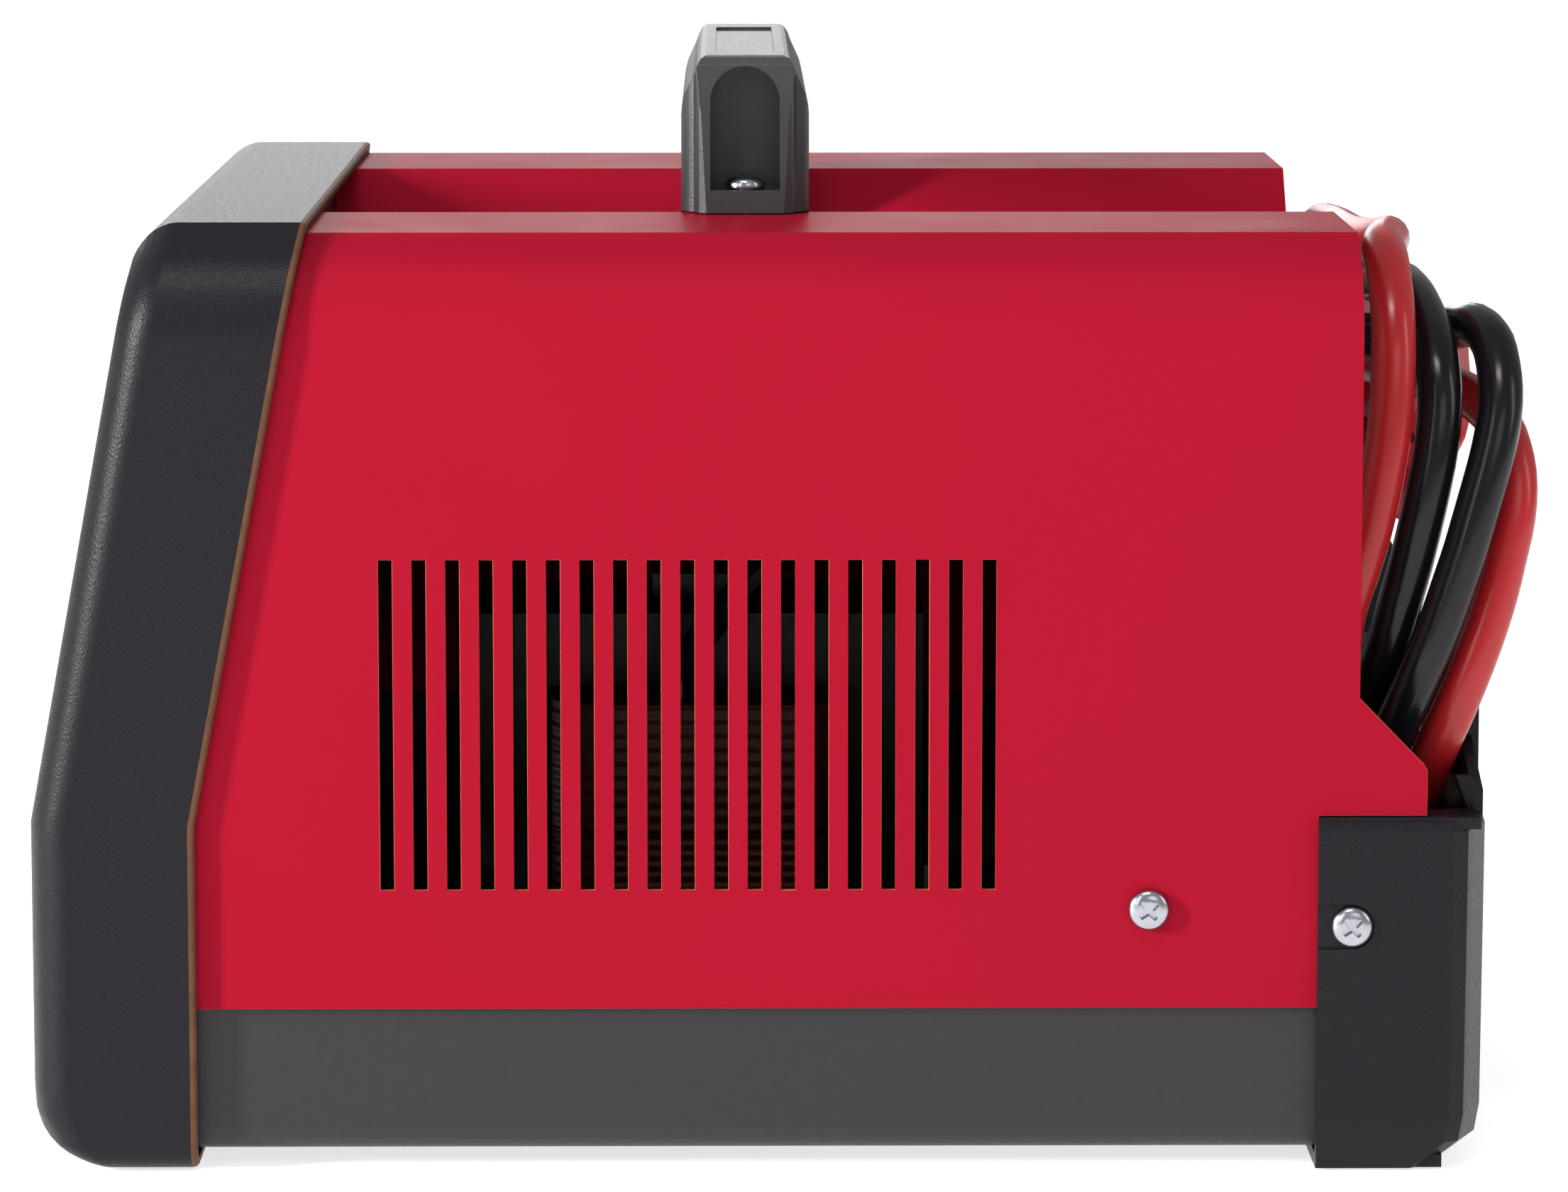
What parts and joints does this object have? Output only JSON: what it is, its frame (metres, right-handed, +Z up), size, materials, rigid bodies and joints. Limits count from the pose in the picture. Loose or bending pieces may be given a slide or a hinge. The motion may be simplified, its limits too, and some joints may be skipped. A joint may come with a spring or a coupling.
{
  "type": "stick welder",
  "caption": "Small transformer stick welder: folded sheet cover with slots, moulded front bezel and rear tray, carry handle, two wound leads with electrode holder and work clamp.",
  "frame": {"origin": "on the floor, under the middle of the casing, leads left out", "axes": "+Z up, -Y out of the front panel, +Y out of the rear cable tray, X across the machine"},
  "size_m": [0.3116, 0.3478, 0.251],
  "materials": {
    "aluminium": "varnished aluminium winding",
    "black_plastic": "fine leather grain, near black",
    "black_rubber": "soft sheen",
    "brass": "plain",
    "copper": "varnished copper winding",
    "core_steel": "varnished laminations",
    "fan_plastic": "plain moulded",
    "handle_plastic": "fine grain, near black",
    "lens": "clear orange",
    "plated_sheet": "dull plated sheet",
    "red_paint": "smooth red powder coat",
    "red_plastic": "glossy moulded",
    "red_rubber": "soft sheen",
    "steel": "plain plated",
    "zinc": "bright zinc plate"
  },
  "bodies": {
    "casing": {"base_tray": "black_plastic", "carry_handle": "handle_plastic", "clamp_lower_arm": "steel", "clamp_lower_grip": "black_rubber", "clamp_pin": "zinc", "clamp_spring": "steel", "core_foot_front": "plated_sheet", "core_foot_rear": "plated_sheet", "cover_screw_left": "zinc", "cover_screw_right": "zinc", "electrode_lead": "red_rubber", "electrode_lead_gland": "black_rubber", "electrode_wire": "black_rubber", "fan_bracket": "plated_sheet", "fan_motor": "core_steel", "foot_bolt_1": "zinc", "foot_bolt_2": "zinc", "foot_bolt_3": "zinc", "foot_bolt_4": "zinc", "front_bezel": "black_plastic", "front_panel": "black_plastic", "handle_bolt_left": "zinc", "handle_bolt_right": "zinc", "holder_handle": "red_plastic", "holder_lower_jaw": "red_plastic", "holder_pin": "steel", "holder_spring": "steel", "indicator_lens": "lens", "mains_cord_inlet": "black_rubber", "primary_coil": "copper", "rear_cable_tray": "black_plastic", "rear_panel": "plated_sheet", "secondary_coil": "aluminium", "selector_switch": "black_plastic", "switch_housing": "black_plastic", "terminal_block": "black_plastic", "thermal_cutout": "black_plastic", "transformer_core": "core_steel", "tray_screw_left": "zinc", "tray_screw_right": "zinc", "work_lead": "black_rubber", "work_lead_gland": "black_rubber", "work_wire": "black_rubber", "wraparound_cover": "red_paint"},
    "rocker": {"power_rocker": "black_plastic"},
    "knob": {"output_knob": "black_plastic", "selector_shaft": "brass"},
    "fan": {"fan_blade": "fan_plastic", "fan_shaft": "steel"},
    "holder_lever": {"holder_lever": "red_plastic", "holder_upper_jaw": "red_plastic"},
    "clamp_arm": {"clamp_upper_arm": "steel", "clamp_upper_grip": "black_rubber"}
  },
  "joints": [
    {"name": "power_rocker_tilt", "type": "hinge", "parent": "casing", "child": "rocker", "pos_m": [-0.07, -0.13546, 0.14489], "axis": [1, 0, 0], "range_deg": [-18, 0]},
    {"name": "output_knob_turn", "type": "hinge", "parent": "casing", "child": "knob", "pos_m": [0.035, -0.13546, 0.14489], "axis": [0, -0.9832, 0.1825], "range_deg": [-135, 135]},
    {"name": "fan_spin", "type": "hinge", "parent": "casing", "child": "fan", "pos_m": [0, 0.09, 0.12], "axis": [0, 1, 0], "continuous": true},
    {"name": "holder_squeeze", "type": "hinge", "parent": "casing", "child": "holder_lever", "pos_m": [0.014, 0.16125, 0.1608], "axis": [0, 0.8988, -0.4384], "range_deg": [-5, 0], "stiffness_Nm_per_rad": 0.6, "springref_deg": 17.19, "deforming": ["holder_spring"]},
    {"name": "clamp_squeeze", "type": "hinge", "parent": "casing", "child": "clamp_arm", "pos_m": [-0.006, 0.144, 0.0975], "axis": [0, 1, 0], "range_deg": [0, 12], "stiffness_Nm_per_rad": 0.8, "springref_deg": -17.19}
  ]
}
